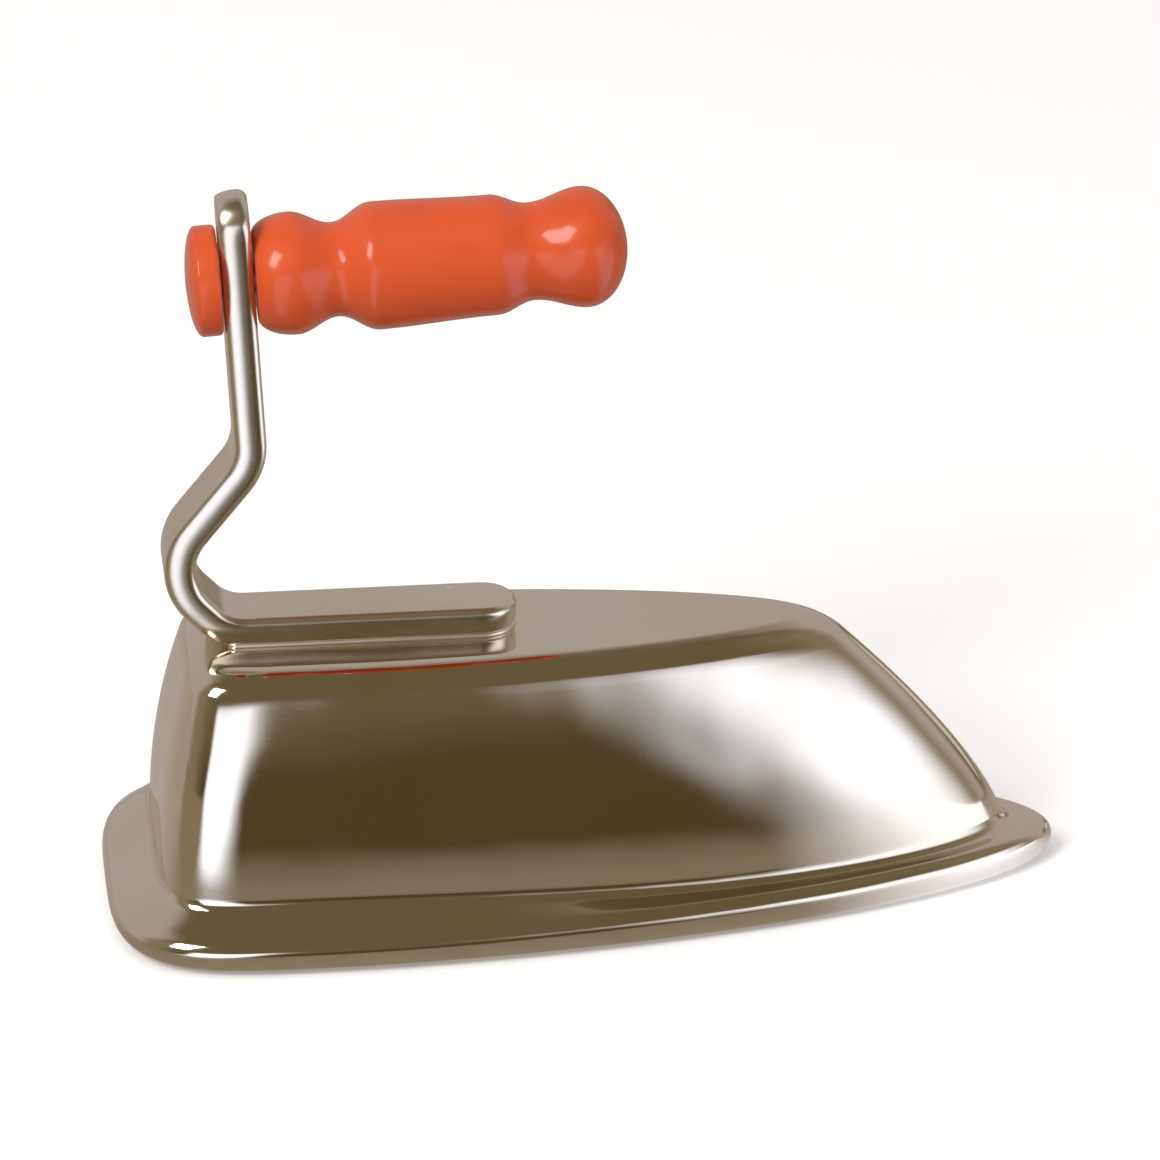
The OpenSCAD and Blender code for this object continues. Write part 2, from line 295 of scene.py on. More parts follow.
# %% Press the body and give it the sheet's thickness
body_rings = []
for row in zip(*sections):
    ring = [(*body_point(place, inset, level), z) for place, (inset, z, level) in zip(PLACES, row)]
    body_rings.append(ring)
body_mesh = pressed(body_rings)
close_up(body_mesh)
bmesh.ops.solidify(body_mesh, geom=body_mesh.faces[:], thickness=SHEET)
pressed_body = make_piece(body_mesh, "pressed_body", "body_shell")

# %% [markdown]
# ## The sole plate
# A flat plate closes the underside. Its edge is joggled up, so that the rim's lip holds it, and its field
# stands a hair below the rim to rest on the table. It is pressed from the same outline as the rim, so the gap
# between the two is even all round.

# %% Sole plate
SOLE_T = 0.8 * MM
SOLE_GAP = 0.2 * MM
SOLE_ROUND = 0.2 * MM
SOLE_ROUND_STEPS = 4
FIELD_STEPS = 6
field_in = LIP + SOLE_GAP
seat_z = RIM_LIFT + SHEET
edge_in = RIM_R + SOLE_GAP
sole_levels = [(inset, 0) for inset in spread(WIDTH / 2, field_in + SOLE_ROUND, FIELD_STEPS)]
sole_levels += arc((field_in + SOLE_ROUND, SOLE_ROUND), SOLE_ROUND, -math.pi / 2, 0, SOLE_ROUND_STEPS)[1:]
sole_levels += [(field_in, seat_z), (edge_in, seat_z), (edge_in, seat_z + SOLE_T)]
sole_levels += [(field_in + SOLE_T, seat_z + SOLE_T), (field_in + SOLE_T, SOLE_T)]
sole_levels += [(inset, SOLE_T) for inset in spread(field_in + SOLE_T, WIDTH / 2, FIELD_STEPS)[1:]]
sole_rings = []
for inset, z in sole_levels:
    ring = [(*boat_point(place, inset, inset, inset, RIM_CORNER, RIM_NOSE), z) for place in PLACES]
    sole_rings.append(ring)
sole_mesh = pressed(sole_rings)
close_up(sole_mesh)
sole = make_piece(sole_mesh, "sole", "sole_plate")

# %% [markdown]
# ## The bent strap
# The real strap is punched from flat bar and then bent three times. A punch pulls the edges of one face in
# further than those of the other, so the rear of the upright and the underside of the foot have long soft
# edges, and the other face has firmer ones. The mesh is made in the same order: a flat bar with round ends,
# pulled from rings like the body, and then every vertex is carried along the bent middle line. Bending last
# keeps the bar's thickness the same through every bend.

# %% Flat bar with round ends
STRAP_T = 1.9 * MM
STRAP_R = (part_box("handle_strap")[1].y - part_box("handle_strap")[0].y) / 2
SOFT_EDGE = (0.4 * MM, 1.25 * MM)
FIRM_EDGE = (0.5 * MM, 0.55 * MM)
EDGE_STEPS = 12
FLAT_STEPS = 4
END_STEPS = 12
ROW = 0.3 * MM
FOOT_BEND_R = 3.2 * MM
BEND_R = 3.7 * MM
LEG_SLOPE, BACK_SLOPE, LEAN = (math.radians(a) for a in (43.5, 38.7, 3.1))
CORNERS = [17.7 * MM, 5.55 * MM, 9 * MM, 17.1 * MM]
turns = [-(math.pi / 2 - LEG_SLOPE), -(LEG_SLOPE + BACK_SLOPE), BACK_SLOPE + LEAN]
radii = [FOOT_BEND_R, BEND_R, BEND_R]


def bar_walk():
    """(length, turn) of each stretch of the middle line, from the foot's end to the tip."""
    cuts = [r * math.tan(abs(t) / 2) for r, t in zip(radii, turns)]
    walk = []
    for k, side in enumerate(CORNERS):
        before = cuts[k - 1] if k > 0 else 0
        after = cuts[k] if k < len(cuts) else 0
        walk.append((side - before - after, 0))
        if k < len(cuts):
            walk.append((radii[k] * abs(turns[k]), turns[k]))
    return walk


walk = bar_walk()
bar_length = sum(length for length, _ in walk)
print(f"bar cut to {bar_length / MM:.1f} mm")


def bar_outline(inset):
    """Outline of the flat bar, (along, across), at a distance inside its edge."""
    half = STRAP_R - inset
    rows = spread(STRAP_R, bar_length - STRAP_R, round((bar_length - 2 * STRAP_R) / ROW))
    angles = spread(-math.pi / 2, math.pi / 2, END_STEPS)[1:-1]
    tip = [(bar_length - STRAP_R + half * math.cos(a), half * math.sin(a)) for a in angles]
    heel = [(STRAP_R - half * math.cos(a), -half * math.sin(a)) for a in angles]
    return [(x, -half) for x in rows] + tip + [(x, half) for x in reversed(rows)] + heel


def bar_half(edge):
    """(inset, height) from the middle of a face to the bar's side, over an edge this wide and high."""
    wide, high = edge
    flat = [(inset, STRAP_T / 2) for inset in spread(STRAP_R, wide, FLAT_STEPS)]
    angles = spread(math.pi / 2, 0, EDGE_STEPS)[1:]
    return flat + [(wide * (1 - math.cos(a)), STRAP_T / 2 - high * (1 - math.sin(a))) for a in angles]


bar_section = bar_half(FIRM_EDGE) + [(inset, -z) for inset, z in reversed(bar_half(SOFT_EDGE))]
bar_mesh = pressed([[(x, y, z) for x, y in bar_outline(inset)] for inset, z in bar_section])
print(len(bar_section), "rings round the bar")


# %% Bend the bar
def along_bar(distance):
    """Place on the middle line, (x, z), and the heading there."""
    x, z = foot_end
    heading = math.pi
    for length, turn in walk:
        part = min(distance, length)
        if turn:
            radius = length / turn
            ahead = heading + part / radius
            x += radius * (math.sin(ahead) - math.sin(heading))
            z -= radius * (math.cos(ahead) - math.cos(heading))
            heading = ahead
        else:
            x += part * math.cos(heading)
            z += part * math.sin(heading)
        distance -= part
        if distance <= 0:
            break
    return x, z, heading


foot_end = (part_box("handle_strap")[1].x, TOP_Z + STRAP_T / 2)
for vert in bar_mesh.verts:
    along, across, height = vert.co
    x, z, heading = along_bar(along)
    vert.co = (x + height * math.sin(heading), across, z - height * math.cos(heading))
close_up(bar_mesh)
strap = make_piece(bar_mesh, "strap", "handle_strap")

# %% [markdown]
# A thin line of solder fills the groove between the foot's rounded lower edge and the top, and shines where
# it turns the corner at the heel. A curve with a bevel would do for it, but a ring of rings is as short with
# the tools at hand, and it is a closed mesh at once.

# %% Solder along the foot
SEAM_R = 0.2 * MM
SEAM_IN = 0.24 * MM
SEAM_Z = 0.12 * MM
SEAM_CORNER = 0.5 * MM
SEAM_HEEL = REAR_X + 7.6 * MM
SEAM_STEPS = 10


def seam_outline(inset):
    """The foot's outline from above, at a distance inside its edge."""
    half, corner = STRAP_R - inset, SEAM_CORNER - inset
    front, rear, side = foot_end[0] - STRAP_R, SEAM_HEEL + SEAM_CORNER, STRAP_R - SEAM_CORNER
    quarter = spread(0, math.pi / 2, END_STEPS)
    half_turn = spread(-math.pi / 2, math.pi / 2, END_STEPS)
    nose = [(front + half * math.cos(a), half * math.sin(a)) for a in half_turn]
    heel = [(rear - corner * math.sin(a), side + corner * math.cos(a)) for a in quarter]
    return nose + heel + [(x, -y) for x, y in reversed(heel)]


seam_rings = []
for a in spread(0, 2 * math.pi, SEAM_STEPS):
    level = TOP_Z + SEAM_Z + SEAM_R * math.sin(a)
    seam_rings.append([(x, y, level) for x, y in seam_outline(SEAM_IN - SEAM_R * math.cos(a))])
seam_mesh = pressed(seam_rings)
close_up(seam_mesh)
foot_seam = dress(seam_mesh, "foot_seam", "handle_strap")
print("foot_seam:", len(foot_seam.data.polygons), "faces")

# %% [markdown]
# ## The turned handle
# Grip and button are turned from one stick of wood. On a lathe only the profile matters, so each is drawn as
# one line of vertices from the bottom of its bore to the end of its outside, and spun round the axis of the
# joint that carries it.

# %% Lathe
SPIN_STEPS = 96
joint = frame["joints"][0]
eye = Vector(joint["pos_m"])
axis = Vector(joint["axis"])
PIN_R = 1 * MM
SIDE_GAP = 0.1 * MM
print("handle turns on", joint["name"])


def lathe(profile, centre, way):
    """A mesh turned about a line from (distance along it, radius) points."""
    bm = bmesh.new()
    across = way.orthogonal().normalized()
    line = [bm.verts.new(centre + way * d + across * r) for d, r in profile]
    edges = [bm.edges.new(pair) for pair in zip(line, line[1:])]
    full_turn = {"angle": 2 * math.pi, "steps": SPIN_STEPS, "use_merge": True}
    bmesh.ops.spin(bm, geom=line + edges, cent=centre, axis=way, **full_turn)
    close_up(bm)
    return bm


def bore(piece, profile, centre, way):
    """Cuts a turned shape out of a piece for good."""
    cutter = object_from(lathe(profile, centre, way), "cutter")
    cut = piece.modifiers.new("bore", "BOOLEAN")
    cut.operation, cut.solver, cut.object = "DIFFERENCE", "EXACT", cutter
    done = bpy.data.meshes.new_from_object(piece.evaluated_get(bpy.context.evaluated_depsgraph_get()))
    piece.modifiers.clear()
    piece.data = done
    bpy.data.objects.remove(cutter)
    shade(done)
    print(f"{piece.name}: bored, {len(done.polygons)} faces")


# %% Grip
GRIP_START = STRAP_T / 2 + SIDE_GAP
GRIP_L = 22.15 * MM
GRIP_BORE = 9 * MM
FACE_R = 2.5 * MM
CURVE_STEPS = 14
GRIP_STATIONS = [
    (2.25 * MM, 3.65 * MM),
    (4.75 * MM, 2.8 * MM),
    (7.15 * MM, 3.8 * MM),
    (14.15 * MM, 3.575 * MM),
    (16.4 * MM, 2.9 * MM),
    (19.6 * MM, 3.6 * MM),
]


def swell(t):
    """Share of the way between two stations, level at both ends."""
    return (1 - math.cos(math.pi * t)) / 2


def grip_profile():
    profile = [(GRIP_BORE, 0), (GRIP_BORE, PIN_R), (0, PIN_R)]
    bulb, wide = GRIP_STATIONS[0]
    for a in spread(0, math.pi / 2, CURVE_STEPS):
        profile.append((bulb * (1 - math.cos(a)), FACE_R + (wide - FACE_R) * math.sin(a)))
    for (d0, r0), (d1, r1) in zip(GRIP_STATIONS, GRIP_STATIONS[1:]):
        profile += [(d0 + (d1 - d0) * t, r0 + (r1 - r0) * swell(t)) for t in spread(0, 1, CURVE_STEPS)[1:]]
    last, full = GRIP_STATIONS[-1]
    for a in spread(0, math.pi / 2, CURVE_STEPS)[1:]:
        profile.append((last + (GRIP_L - last) * math.sin(a), full * math.cos(a)))
    return [(GRIP_START + d, r) for d, r in profile]


grip = make_piece(lathe(grip_profile(), eye, axis), "turned_grip", "grip")

# %% Button behind the strap
BUTTON_R = 3.3 * MM
BUTTON_T = 2 * MM
BUTTON_DOME = 0.8 * MM
BUTTON_EDGE = 0.3 * MM
BUTTON_EDGE_STEPS = 5
BUTTON_BORE = 1.2 * MM


def button_profile():
    profile = [(BUTTON_BORE, 0), (BUTTON_BORE, PIN_R), (0, PIN_R)]
    for a in spread(0, math.pi / 2, BUTTON_EDGE_STEPS):
        profile.append((BUTTON_EDGE * (1 - math.cos(a)), BUTTON_R - BUTTON_EDGE * (1 - math.sin(a))))
    for a in spread(0, math.pi / 2, CURVE_STEPS):
        profile.append((BUTTON_T - BUTTON_DOME * (1 - math.sin(a)), BUTTON_R * math.cos(a)))
    return [(-GRIP_START - d, r) for d, r in profile]


button = make_piece(lathe(button_profile(), eye, axis), "turned_button", "end_button")

# %% [markdown]
# ## Holes
# The pin runs through an eye in the strap, and two rivets hold the strap's foot to the top. Their ends are
# filed level with the foot, so only a hair line would show. Without the holes two faces would lie in one
# plane there, and such faces flicker. A lathe shape is cut out of each piece with a Boolean, which is then
# applied.

# %% Eye and rivet holes
RIVETS = ("rear_rivet", "front_rivet")
EYE_GAP = 0.05 * MM
EYE_R = PIN_R + EYE_GAP
RIVET_R = 0.8 * MM
FLUSH_R = 1.3 * MM
FLUSH_DEPTH = 0.5 * MM
HAIR = 0.006 * MM
OVER = 1 * MM
up = Vector((0, 0, 1))
foot_top = TOP_Z + STRAP_T
flare = (FLUSH_R - RIVET_R) / FLUSH_DEPTH
rivet_hole = [
    (TOP_Z - SHEET - OVER, 0),
    (TOP_Z - SHEET - OVER, RIVET_R + HAIR),
    (foot_top - FLUSH_DEPTH, RIVET_R + HAIR),
    (foot_top + OVER, FLUSH_R + HAIR + flare * OVER),
    (foot_top + OVER, 0),
]
bore(strap, [(-STRAP_T, 0), (-STRAP_T, EYE_R), (STRAP_T, EYE_R), (STRAP_T, 0)], eye, axis)
for rivet in RIVETS:
    low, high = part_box(rivet)
    centre = Vector(((low.x + high.x) / 2, 0, 0))
    bore(strap, rivet_hole, centre, up)
    bore(pressed_body, rivet_hole, centre, up)


# %% [markdown]
# ## Shader maths
# A finish is a small sum: some tone, plus a little noise, times a mask. Drawn as boxes and wires such a
# sum is long, so this class wraps a socket and lets Python write it. Each operator adds one Math node, and
# every other node comes from the method called node.

# %% Wires
class Wire:
    """A node's output socket that can be used in a sum."""

    def __init__(self, tree, socket=None):
        self.tree = tree
        self.socket = socket

    def node(self, kind, settings=None, sockets=None, output=0):
        """Adds a node: its settings first, then the values or wires of its sockets."""
        made = self.tree.nodes.new(kind)
        for name, value in (settings or {}).items():
            setattr(made, name, value)
        for name, value in (sockets or {}).items():
            if isinstance(value, Wire):
                self.tree.links.new(value.socket, made.inputs[name])
            else:
                made.inputs[name].default_value = value
        return Wire(self.tree, made.outputs[output] if made.outputs else None)

    def math(self, operation, first, second):
        return self.node("ShaderNodeMath", {"operation": operation}, {0: first, 1: second})

    def __add__(self, other):
        return self.math("ADD", self, other)

    __radd__ = __add__

    def __sub__(self, other):
        return self.math("SUBTRACT", self, other)

    def __rsub__(self, other):
        return self.math("SUBTRACT", other, self)

    def __mul__(self, other):
        return self.math("MULTIPLY", self, other)

    __rmul__ = __mul__

    def __pow__(self, other):
        return self.math("POWER", self, other)


# %% Steps that every finish uses
MIX_SHARE, MIX_ONE, MIX_OTHER, MIX_COLOUR = 0, 6, 7, 2


def new_finish(name):
    """An empty material and a wire to start from."""
    material = bpy.data.materials.new(name)
    material.use_nodes = True
    material.node_tree.nodes.clear()
    return material, Wire(material.node_tree)


def place_on_piece(start):
    return start.node("ShaderNodeTexCoord", output="Object")


def speckle(start, place, scale, detail=2.0, roughness=0.5):
    """Noise between 0 and 1, with about scale cells per metre."""
    sockets = {"Vector": place, "Scale": scale, "Detail": detail, "Roughness": roughness}
    return start.node("ShaderNodeTexNoise", {"noise_dimensions": "3D"}, sockets, output="Fac")


def stretched(start, place, scale, turn=(0, 0, 0)):
    """The same place, squeezed so that a noise on it draws out into lines."""
    return start.node("ShaderNodeMapping", {}, {"Vector": place, "Rotation": turn, "Scale": scale})


def between(start, value, low, high):
    """0 under low, 1 over high, smooth in between."""
    sockets = {"Value": value, "From Min": low, "From Max": high, "To Min": 0.0, "To Max": 1.0}
    return start.node("ShaderNodeMapRange", {"interpolation_type": "SMOOTHSTEP"}, sockets)


def fading(start, value, low, high):
    """1 under low, 0 over high, smooth in between."""
    return 1 - between(start, value, low, high)


def as_colour(value):
    return value if isinstance(value, Wire) else (*value, 1)


def blend(start, share, one, other):
    """A colour between two others. A Mix node has sockets for every kind of data; these are its colours."""
    sockets = {MIX_SHARE: share, MIX_ONE: as_colour(one), MIX_OTHER: as_colour(other)}
    settings = {"data_type": "RGBA", "blend_type": "MIX"}
    return start.node("ShaderNodeMix", settings, sockets, output=MIX_COLOUR)


def bump(start, height, depth, normal=None):
    sockets = {"Height": height, "Distance": depth, "Strength": 1.0}
    if normal:
        sockets["Normal"] = normal
    return start.node("ShaderNodeBump", {}, sockets)


def surface(start, **sockets):
    """Ends a finish in a Principled shader, with the sockets by name."""
    named = {name.replace("_", " "): value for name, value in sockets.items()}
    shader = start.node("ShaderNodeBsdfPrincipled", {}, named)
    start.node("ShaderNodeOutputMaterial", {}, {"Surface": shader})


def finish_node(node, material):
    """Gives its finish to a node of the frame that shows as it is."""
    slots = frame["nodes"][node].data.materials
    slots.clear()
    slots.append(material)


# %% [markdown]
# ## Warm plating
# The metal is bright plating of a warm nickel tone over polished sheet. Up close it is never a perfect
# mirror: the sheet is wavy from the press, the polish leaves hair-fine lines, and handling leaves a film
# that dulls the shine in patches. The tone shifts a little between a paler and a browner gold. The bar of
# the strap is duller and straighter than the sheet. The waves could be modelled, but they are far flatter
# than they are wide, so a bump bends the reflections just as well.

# %% Plated metal
PLATING = (0.74, 0.67, 0.545)
PLATING_WARM = (0.68, 0.585, 0.43)
FILM_CELLS, SMUDGE_CELLS, WAVE_CELLS = 70, 260, 120
HAIR_LINES = (300, 7000, 7000)
CROSS_LINES, CROSS_TURN = (6000, 5000, 250), (0.3, 0.2, 0.5)
HAIR_DEPTH = 0.0002 * MM
FILM_CUT, HAIR_CUT, CROSS_CUT = (0.4, 0.75), (0.62, 0.78), (0.66, 0.8)
FILM_SHARE, SMUDGE_DULL, SCRATCH_DULL = 0.6, 0.05, 0.03
SHEET_WAVE, SHEET_ROUGHNESS = 0.19 * MM, 0.04
BAR_WAVE, BAR_ROUGHNESS = 0.02 * MM, 0.2


def plated_finish(name, wave_depth, roughness):
    material, start = new_finish(name)
    place = place_on_piece(start)
    film = speckle(start, place, FILM_CELLS, detail=3)
    smudge = speckle(start, place, SMUDGE_CELLS, detail=4, roughness=0.6)
    hairs = speckle(start, stretched(start, place, HAIR_LINES), 1, detail=1)
    cross_hairs = speckle(start, stretched(start, place, CROSS_LINES, CROSS_TURN), 1, detail=1)
    scratch = between(start, hairs, *HAIR_CUT) + between(start, cross_hairs, *CROSS_CUT)
    wave = speckle(start, place, WAVE_CELLS, detail=1)
    normal = bump(start, wave, wave_depth)
    normal = bump(start, scratch, HAIR_DEPTH, normal)
    surface(
        start,
        Base_Color=blend(start, between(start, film, *FILM_CUT) * FILM_SHARE, PLATING, PLATING_WARM),
        Metallic=1.0,
        Roughness=roughness + smudge * SMUDGE_DULL + scratch * SCRATCH_DULL,
        Normal=normal,
    )
    return material


sheet_plating = plated_finish("warm_plating_sheet", SHEET_WAVE, SHEET_ROUGHNESS)
strap_plating = plated_finish("warm_plating_bar", BAR_WAVE, BAR_ROUGHNESS)
pressed_body.data.materials.append(sheet_plating)
strap.data.materials.append(strap_plating)
for rivet in RIVETS:
    finish_node(rivet, strap_plating)
print("plated:", pressed_body.name, strap.name, *RIVETS)

# %% [markdown]
# ## Sole, pin and solder
# The sole is plain plated sheet that slides over cloth, so its lines run along the iron. The pin is drawn
# wire: it hides in the handle, and shows only in the thin gaps beside the strap. Solder is paler than the
# plating. All three are metal with fine lines, so one finish with other tones does for them.

# %% Steel and solder
SOLE_TONE = (0.62, 0.58, 0.51)
SOLE_WORN = (0.5, 0.46, 0.4)
PIN_TONE = (0.5, 0.49, 0.47)
PIN_DARK = (0.36, 0.35, 0.33)
SOLDER = (0.86, 0.8, 0.66)
SOLDER_DULL = (0.74, 0.67, 0.52)
DRAWN_LINES = (120, 5000, 5000)
DRAWN_DEPTH = 0.002 * MM
PATCH_CELLS, PATCH_CUT = 120, (0.4, 0.7)
PATCH_SHARE, LINE_DULL, PATCH_DULL = 0.7, 0.12, 0.08


def drawn_finish(name, tone, worn, roughness):
    material, start = new_finish(name)
    place = place_on_piece(start)
    lines = speckle(start, stretched(start, place, DRAWN_LINES), 1, detail=2)
    patch = speckle(start, place, PATCH_CELLS, detail=3)
    surface(
        start,
        Base_Color=blend(start, between(start, patch, *PATCH_CUT) * PATCH_SHARE, tone, worn),
        Metallic=1.0,
        Roughness=roughness + lines * LINE_DULL + patch * PATCH_DULL,
        Normal=bump(start, lines, DRAWN_DEPTH),
    )
    return material


sole.data.materials.append(drawn_finish("drawn_sole", SOLE_TONE, SOLE_WORN, roughness=0.2))
foot_seam.data.materials.append(drawn_finish("solder", SOLDER, SOLDER_DULL, roughness=0.22))
finish_node("handle_pin", drawn_finish("drawn_wire", PIN_TONE, PIN_DARK, roughness=0.25))
print("drawn:", sole.name, foot_seam.name, "handle_pin")

# %% [markdown]
# ## Coral paint on turned wood
# The wood is dipped in thick gloss paint. The paint is a shade deeper here and there, where the coat is
# thicker, a faint trace of the lathe's rings shows through it, and its skin has the soft unevenness of a
# dipped coat. A thin Coat over a duller base gives the small sharp highlights of such paint.

# %% Coral gloss paint
CORAL = (0.7, 0.098, 0.026)
CORAL_DEEP = (0.6, 0.071, 0.017)
CLOUD_CELLS, SKIN_CELLS = 350, 700
LATHE_LINES = (2600, 120, 120)
SKIN_DEPTH, LATHE_DEPTH = 0.012 * MM, 0.003 * MM
CLOUD_CUT, CLOUD_SHARE, CLOUD_DULL = (0.45, 0.8), 0.5, 0.08
PAINT_ROUGHNESS, PAINT_SHINE = 0.24, 0.16
COAT, COAT_ROUGHNESS = 0.3, 0.09


def coral_finish():
    material, start = new_finish("coral_gloss")
    place = place_on_piece(start)
    cloud = speckle(start, place, CLOUD_CELLS, detail=3)
    rings = speckle(start, stretched(start, place, LATHE_LINES), 1, detail=1)
    skin = speckle(start, place, SKIN_CELLS, detail=1)
    normal = bump(start, skin, SKIN_DEPTH)
    normal = bump(start, rings, LATHE_DEPTH, normal)
    surface(
        start,
        Base_Color=blend(start, between(start, cloud, *CLOUD_CUT) * CLOUD_SHARE, CORAL, CORAL_DEEP),
        Roughness=PAINT_ROUGHNESS + cloud * CLOUD_DULL,
        Specular_IOR_Level=PAINT_SHINE,
        Normal=normal,
        Coat_Weight=COAT,
        Coat_Roughness=COAT_ROUGHNESS,
    )
    return material


coral = coral_finish()
grip.data.materials.append(coral)
button.data.materials.append(coral)
print("painted:", grip.name, button.name)

# %% [markdown]
# ## Floor
# Polished metal shows its surroundings more than itself, so a photographer lays toned card round it. Here the
# camera sees a white floor with the iron's shadow, while the iron sees a sheet of toned paper right under it.
# Asking for the kind of ray inside one material would do the same, but two planes, each hidden from some
# rays, are easier to follow. The floor glows a little by itself, so it is white without more light on the
# iron.

# %% White floor
FLOOR_SIZE = 3.0
FLOOR_Z = -0.03 * MM
FLOOR_TONE = (0.97, 0.975, 0.98)
FLOOR_SHADE = (0.94, 0.945, 0.95)
FLOOR_GLOW = 0.17
FLOOR_ROUGHNESS = 0.9
GRAIN_CELLS, GRAIN_SHARE = 40, 0.3


def flat_stage(name, size, level, material):
    """A square on the floor that belongs to the studio."""
    bm = bmesh.new()
    bmesh.ops.create_grid(bm, x_segments=1, y_segments=1, size=size)
    bmesh.ops.translate(bm, verts=bm.verts, vec=(0, 0, level))
    sheet = object_from(bm, name)
    sheet.data.materials.append(material)
    return sheet


def floor_finish():
    material, start = new_finish("pale_floor")
    grain = speckle(start, place_on_piece(start), GRAIN_CELLS)
    tone = blend(start, grain * GRAIN_SHARE, FLOOR_TONE, FLOOR_SHADE)
    surface(
        start,
        Base_Color=tone,
        Roughness=FLOOR_ROUGHNESS,
        Specular_IOR_Level=0.0,
        Emission_Color=tone,
        Emission_Strength=FLOOR_GLOW,
    )
    return material


floor = flat_stage("floor", FLOOR_SIZE, FLOOR_Z, floor_finish())
floor.visible_diffuse = False
floor.visible_glossy = False
print("floor:", 2 * FLOOR_SIZE, "m wide")

# %% [markdown]
# The paper glows by itself, and carries the tones of the room on down to the iron: dark on the camera's side,
# where the long wall gets its deep tone from, greyer towards the sides and the back, and with the light of a
# window on the left and of one on the right.

# %% Toned paper that the camera doesn't see
PAPER_SIZE = 2 * FLOOR_SIZE
PAPER_Z = -0.06 * MM
DARK = (0.1, 0.073, 0.028)
WINDOW = (1.5, 1.61, 2.0)
PAPER_NEAR = (0.3, 0.26, 0.2)
PAPER_SIDE = (0.29, 0.245, 0.16)
PAPER_FAR = (0.46, 0.41, 0.38)
PAPER_REAR = (0.3, 0.26, 0.21)
NEAR_Y, FAR_Y, REAR_Y = (-48 * MM, -12 * MM), (-14 * MM, 4 * MM), (16 * MM, 70 * MM)
SIDE_EDGE, REAR_EDGE = (18 * MM, 26 * MM), (-26 * MM, -8 * MM)
LEFT_Y, RIGHT_Y = (-30 * MM, -13 * MM), (-8 * MM, 4 * MM)
OUTER_SLOPE, INNER_SLOPE, RIGHT_SLOPE = 0.72, 0.109, 0.6
OUTER_X, INNER_X, RIGHT_X = 18.5 * MM, 23.4 * MM, 10 * MM
RIGHT_DRIFT = 0.18


def axes_of(start, place):
    return [start.node("ShaderNodeSeparateXYZ", {}, {"Vector": place}, output=k) for k in "XYZ"]


def in_widths(start, distance, reach, growth, width):
    """A distance counted in widths of a soft edge, which grows wider with its reach."""
    return start.math("DIVIDE", distance, reach * growth + width)


def paper_finish():
    material, start = new_finish("reflected_paper")
    x, y, _ = axes_of(start, place_on_piece(start))
    tone = blend(start, between(start, y, *NEAR_Y), DARK, PAPER_NEAR)
    tone = blend(start, between(start, y * OUTER_SLOPE - x, *SIDE_EDGE), tone, PAPER_SIDE)
    tone = blend(start, between(start, y, *FAR_Y), tone, PAPER_FAR)
    behind = between(start, y, *REAR_Y) * between(start, x, *REAR_EDGE)
    tone = blend(start, behind, tone, PAPER_REAR)
    reach = (x * x + y * y) ** 0.5
    outer = in_widths(start, x - y * OUTER_SLOPE + OUTER_X, reach, growth=0.13, width=4.5 * MM)
    inner = in_widths(start, x - y * INNER_SLOPE + INNER_X, reach, growth=0.12, width=4 * MM)
    left = between(start, outer, -0.5, 0.5) * fading(start, inner, -0.5, 0.5)
    tone = blend(start, left * fading(start, y, *LEFT_Y), tone, WINDOW)
    right = x + y * RIGHT_SLOPE - RIGHT_X + reach * RIGHT_DRIFT
    right = between(start, in_widths(start, right, reach, growth=0.42, width=10.5 * MM), 0, 1)
    tone = blend(start, right * fading(start, y, *RIGHT_Y), tone, WINDOW)
    black = (0, 0, 0, 1)
    surface(start, Base_Color=black, Specular_IOR_Level=0.0, Emission_Color=tone, Emission_Strength=1.0)
    return material


paper = flat_stage("reflected_paper", PAPER_SIZE, PAPER_Z, paper_finish())
paper.visible_camera = False
paper.visible_shadow = False
paper.visible_transmission = False
print("paper:", 2 * PAPER_SIZE, "m wide")

# %% [markdown]
# ## Room
# The room is the world, mixed by direction: azimuth 0 lies on the camera's side and grows to the right. It
# has a slanted window on the left and one on the right, dark between them, grey walls at the sides and
# behind, and at the rear right a low darker wall with a dim window, which the far side of the iron reflects.
# An image of a studio would do as well, but soft edges can be moved to where a reflection needs them.

# %% World
ROOM_MID = (0.17, 0.135, 0.075)
ROOM_SIDE = (0.28, 0.235, 0.16)
ROOM_FAR = (0.5, 0.47, 0.48)
ROOM_REAR = (0.24, 0.2, 0.15)
REAR_WINDOW = (0.72, 0.7, 0.72)
TO_DEGREES = math.degrees(1)
MID_RISE, SIDE_RISE, FAR_RISE, LOW_RISE = (4, 16), (40, 70), (50, 80), (6, 18)
SIDE_TURN, FAR_TURN = (36, 70), (76, 102)
REAR_DIRECTION = (0.79, 0.62)
REAR_WALL, REAR_PANE = (0.9, 0.97), (0.98, 0.993)
LEFT_START, LEFT_END, LEFT_RISE, LEFT_SLANT = (-39.5, -32.5), (-9.7, -2.7), (16, 22), 0.36
RIGHT_START, RIGHT_END, RIGHT_RISE, RIGHT_SLANT = (22, 43), (58, 86), (13, 25), 0.65

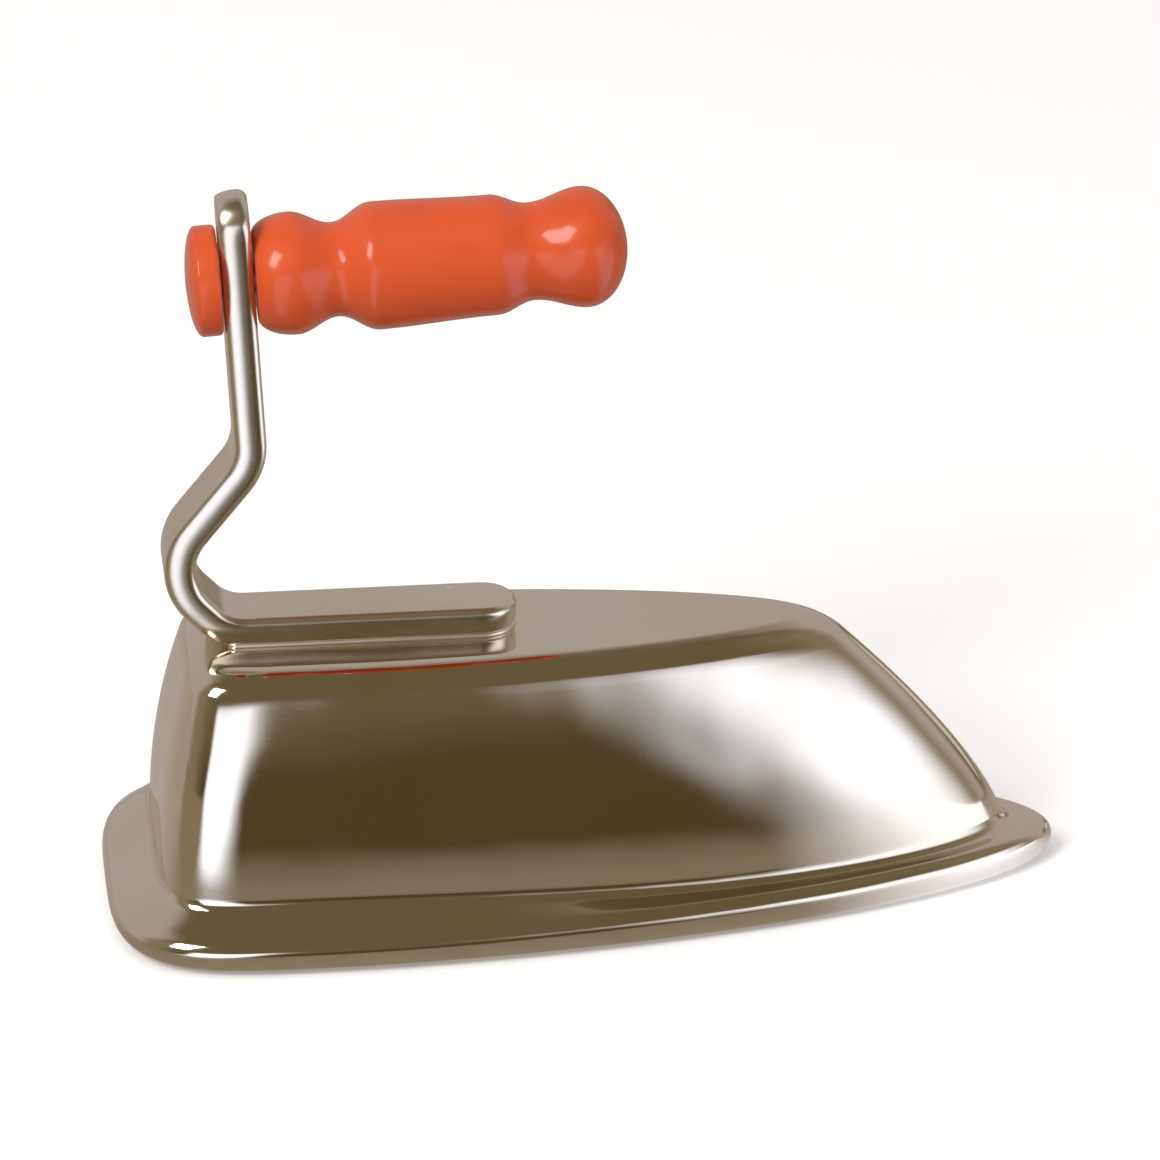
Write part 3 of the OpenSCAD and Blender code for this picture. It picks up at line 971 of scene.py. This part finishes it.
world = bpy.data.worlds.new("studio_room")
world.use_nodes = True
world.node_tree.nodes.clear()
air = Wire(world.node_tree)
x, y, z = axes_of(air, air.node("ShaderNodeTexCoord", output="Generated"))
azimuth = air.math("ARCTAN2", x, y * -1.0) * TO_DEGREES
turned = air.math("ABSOLUTE", azimuth, 0.0)
elevation = air.math("ARCSINE", z, 0.0) * TO_DEGREES
room = blend(air, between(air, elevation, *MID_RISE), DARK, ROOM_MID)
side = between(air, turned, *SIDE_TURN) * fading(air, elevation, *SIDE_RISE)
room = blend(air, side, room, ROOM_SIDE)
far = between(air, turned, *FAR_TURN) * fading(air, elevation, *FAR_RISE)
room = blend(air, far, room, ROOM_FAR)
low_wall = fading(air, elevation, *LOW_RISE)
rearwards = x * REAR_DIRECTION[0] + y * REAR_DIRECTION[1]
room = blend(air, between(air, rearwards, *REAR_WALL) * low_wall, room, ROOM_REAR)
room = blend(air, between(air, rearwards, *REAR_PANE) * low_wall, room, REAR_WINDOW)
slanted = azimuth - elevation * LEFT_SLANT
left = between(air, slanted, *LEFT_START) * fading(air, slanted, *LEFT_END)
room = blend(air, left * fading(air, elevation, *LEFT_RISE), room, WINDOW)
right = between(air, azimuth + elevation * RIGHT_SLANT, *RIGHT_START) * fading(air, azimuth, *RIGHT_END)
room = blend(air, right * fading(air, elevation, *RIGHT_RISE), room, WINDOW)
glow = air.node("ShaderNodeBackground", {}, {"Color": room, "Strength": 1.0})
air.node("ShaderNodeOutputWorld", {}, {"Surface": glow})
bpy.context.scene.world = world
print("world:", world.name)

# %% [markdown]
# ## Lamps
# A tall soft box on the left gives the paint its highlights and the floor its shadow. The colour of the paint
# needs light from more sides than the polished metal should show, so two more lamps, above and in front, are
# hidden from reflections.

# %% Soft boxes
LAMP_TARGET = Vector((0, 0, 15 * MM))


def set_up(thing, target, azimuth, elevation, distance):
    """Puts a lamp or a camera round a target, and turns it to face the target."""
    a, e = math.radians(azimuth), math.radians(elevation)
    back = Vector((math.sin(a) * math.cos(e), -math.cos(a) * math.cos(e), math.sin(e)))
    thing.location = target + back * distance
    thing.rotation_mode = "QUATERNION"
    thing.rotation_quaternion = back.to_track_quat("Z", "Y")
    bpy.context.scene.collection.objects.link(thing)


def soft_box(name, azimuth, elevation, distance, width, height, glow):
    """A rectangular lamp round the iron, whose face is as bright as glow times a white wall."""
    lamp = bpy.data.lights.new(name, "AREA")
    lamp.shape = "RECTANGLE"
    lamp.size, lamp.size_y = width, height
    lamp.energy = glow * math.pi * width * height
    box = bpy.data.objects.new(name, lamp)
    set_up(box, LAMP_TARGET, azimuth, elevation, distance)
    return box


soft_box("key_box", azimuth=-48, elevation=44, distance=1.0, width=0.3, height=0.48, glow=12.7)
fills = [
    soft_box("top_fill", azimuth=-10, elevation=72, distance=0.7, width=0.6, height=0.6, glow=1.36),
    soft_box("front_fill", azimuth=35, elevation=7, distance=0.8, width=0.5, height=0.3, glow=0.7),
]
for fill in fills:
    fill.visible_glossy = False
print("lamps:", 1 + len(fills))

# %% [markdown]
# ## Camera
# The iron is seen from a little to the left of square on, and from about 27 degrees above. A long lens keeps
# its parallel lines nearly parallel.

# %% Camera
VIEW_AZIMUTH = -5.7
VIEW_ELEVATION = 26.5
VIEW_DISTANCE = 0.601
VIEW_TARGET = Vector((0, 0, 19.9 * MM))
SENSOR = 36
LENS = 310
camera = bpy.data.objects.new("camera", bpy.data.cameras.new("camera"))
camera.data.sensor_width = SENSOR
camera.data.lens = LENS
set_up(camera, VIEW_TARGET, VIEW_AZIMUTH, VIEW_ELEVATION, VIEW_DISTANCE)
bpy.context.scene.camera = camera
bpy.context.scene.view_settings.view_transform = "Standard"
print(f"camera at {VIEW_DISTANCE} m, {VIEW_ELEVATION} degrees up")
